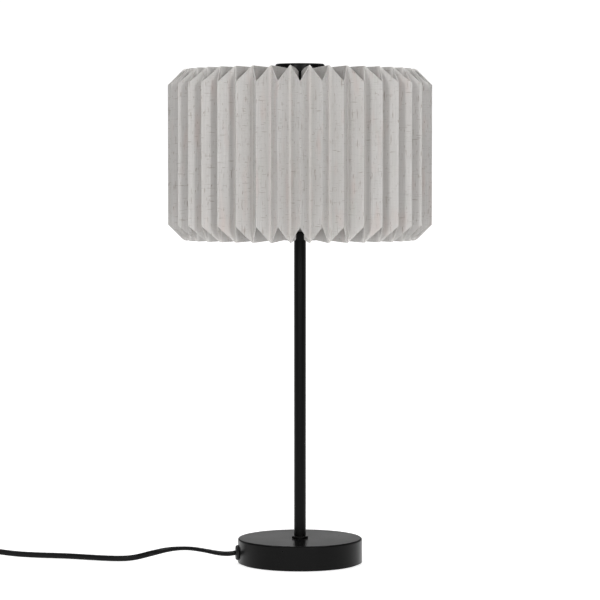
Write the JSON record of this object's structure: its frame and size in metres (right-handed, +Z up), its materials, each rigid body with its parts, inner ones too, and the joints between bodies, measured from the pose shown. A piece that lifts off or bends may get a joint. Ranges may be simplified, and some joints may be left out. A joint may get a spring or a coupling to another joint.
{
  "type": "table lamp",
  "caption": "Table lamp with a drum shade of pleated paper on a slim round pole, a round flat weighted base, and a lead with a switch and a plug.",
  "frame": {"origin": "centre of the base's underside, on the table", "axes": "+Z up along the pole; -Y towards the viewer of the picture; the lead leaves the base on the -X side"},
  "size_m": [0.577, 0.2747, 0.5],
  "materials": {
    "powder_black": "semi-gloss black powder coat",
    "paper": "off-white laminated paper with a woven look, matt",
    "felt": "matt black foam rubber",
    "steel": "zinc plated, dull",
    "screw_black": "black, semi-gloss",
    "iron": "rough cast",
    "holder_plastic": "black thermoset, satin",
    "ceramic": "white glazed ceramic",
    "brass": "plain",
    "bulb_metal": "nickel plated, satin",
    "bulb_plastic": "white moulded",
    "bulb_glass": "frosted white",
    "lead_sheath": "black sheath, satin",
    "tie_plastic": "black, soft",
    "switch_plastic": "black moulded, satin gloss",
    "pin_nickel": "nickel plated"
  },
  "bodies": {
    "stand": {"base_shell": "powder_black", "foot_pad": "felt", "base_plate": "steel", "base_weight": "iron", "plate_screws": "steel", "cord_gland": "holder_plastic", "gland_nut": "steel", "lead_clamp": "steel", "clamp_screws": "steel", "rod_washer": "steel", "rod_nut": "steel", "pole_rod": "steel", "pole_collar": "powder_black", "pole": "powder_black", "lower_cup": "powder_black", "holder_locknut": "steel", "holder_dome": "holder_plastic", "contact_block": "ceramic", "holder_sleeve": "holder_plastic", "socket_shell": "brass", "centre_contact": "brass", "shade_ring": "holder_plastic", "shade_carrier": "steel", "carrier_spigot": "steel", "inner_lead": "lead_sheath", "lead_to_switch": "lead_sheath", "lead_to_coil": "lead_sheath", "lead_coil": "lead_sheath", "coil_ties": "tie_plastic", "lead_to_plug": "lead_sheath", "switch_lower_shell": "switch_plastic", "switch_upper_shell": "switch_plastic", "rocker_pin": "steel", "switch_screws": "steel", "switch_contacts": "brass", "plug_body": "switch_plastic", "plug_pins": "pin_nickel"},
    "shade": {"shade_hub": "steel", "top_cap": "powder_black", "cap_screw": "screw_black", "paper_front": "paper", "paper_right": "paper", "paper_left": "paper"},
    "bulb_contact": {"bulb_tip": "bulb_metal"},
    "bulb": {"bulb_screw_cap": "bulb_metal", "bulb_collar": "bulb_plastic", "bulb_globe": "bulb_glass"},
    "rocker": {"switch_rocker": "switch_plastic"}
  },
  "joints": [
    {"name": "shade_lift", "type": "slide", "parent": "stand", "child": "shade", "axis": [0, 0, 1], "range_m": [0, 0.18]},
    {"name": "bulb_rise", "type": "slide", "parent": "stand", "child": "bulb_contact", "axis": [0, 0, 1], "range_m": [0, 0.0109]},
    {"name": "bulb_turn", "type": "hinge", "parent": "bulb_contact", "child": "bulb", "pos_m": [0, 0, 0.38], "axis": [0, 0, 1], "range_deg": [0, 1080]},
    {"name": "switch_rock", "type": "hinge", "parent": "stand", "child": "rocker", "pos_m": [-0.352, 0.034, 0.0105], "axis": [0, 1, 0], "range_deg": [0, 14]}
  ],
  "couplings": [
    {"joint": "bulb_rise", "follows": "bulb_turn", "m_per_rad": 0.00057757}
  ]
}
